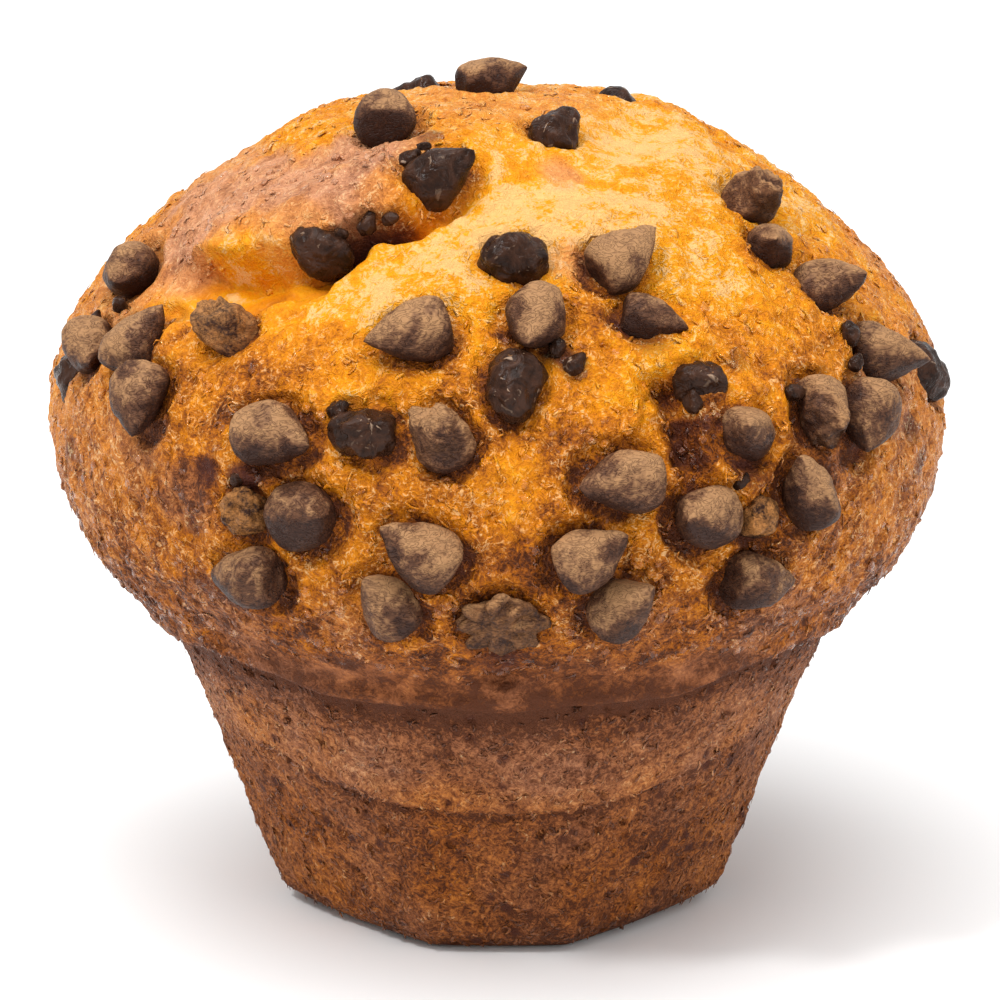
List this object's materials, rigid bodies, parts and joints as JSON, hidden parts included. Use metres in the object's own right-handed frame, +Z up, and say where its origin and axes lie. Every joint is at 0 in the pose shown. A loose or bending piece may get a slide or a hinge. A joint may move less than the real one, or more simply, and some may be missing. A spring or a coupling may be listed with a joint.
{
  "type": "muffin",
  "caption": "Domed chocolate chip muffin with an overhanging cap, a tapered wall and a flat foot, set with loose chocolate chips.",
  "frame": {"origin": "on the plane of the flat foot, under the middle of the whole muffin's box", "axes": "+Z up from the foot to the crown; -Y towards the shown side; +X to its right"},
  "size_m": [0.0956, 0.1008, 0.0915],
  "materials": {
    "crust": "golden brown baked crumb, moist and uneven",
    "chocolate": "milk chocolate with a dusty bloom",
    "melted_chocolate": "melted and set dark chocolate, satin gloss"
  },
  "bodies": {
    "root": {"cake": "crust", "chip_broken_01": "chocolate", "chip_broken_02": "chocolate", "chip_broken_03": "chocolate", "chip_broken_04": "chocolate", "chip_broken_05": "chocolate", "chip_broken_06": "chocolate", "chip_broken_07": "chocolate", "chip_broken_08": "chocolate", "chip_broken_09": "chocolate", "chip_flat_01": "melted_chocolate", "chip_melted_01": "melted_chocolate", "chip_melted_02": "melted_chocolate", "chip_melted_03": "melted_chocolate", "chip_melted_04": "melted_chocolate", "chip_melted_05": "melted_chocolate", "chip_melted_06": "melted_chocolate", "chip_melted_07": "melted_chocolate", "chip_melted_08": "melted_chocolate", "chip_melted_09": "melted_chocolate", "chip_melted_10": "melted_chocolate", "chip_melted_11": "melted_chocolate", "chip_melted_12": "melted_chocolate", "chip_melted_13": "melted_chocolate", "chip_melted_14": "melted_chocolate", "chip_whole_01": "chocolate", "chip_whole_02": "chocolate", "chip_whole_03": "chocolate", "chip_whole_04": "chocolate", "chip_whole_05": "chocolate", "chip_whole_06": "chocolate", "chip_whole_07": "chocolate", "chip_whole_08": "chocolate", "chip_whole_09": "chocolate", "chip_whole_10": "chocolate", "chip_whole_11": "chocolate", "chip_whole_12": "chocolate", "chip_whole_13": "chocolate", "chip_whole_14": "chocolate", "chip_whole_15": "chocolate", "chip_whole_16": "chocolate", "chip_whole_17": "chocolate", "chip_whole_18": "chocolate", "chip_whole_19": "chocolate", "chip_whole_20": "chocolate", "chip_whole_21": "chocolate", "chip_whole_22": "chocolate", "chip_whole_23": "chocolate", "chip_whole_24": "chocolate", "chip_whole_25": "chocolate", "chip_whole_26": "chocolate", "chip_whole_27": "chocolate", "chip_whole_28": "chocolate", "chip_whole_29": "chocolate", "chip_whole_30": "chocolate", "chip_whole_31": "chocolate", "chip_whole_32": "chocolate", "chip_whole_33": "chocolate", "chip_whole_34": "chocolate", "chip_whole_35": "chocolate"}
  },
  "joints": []
}
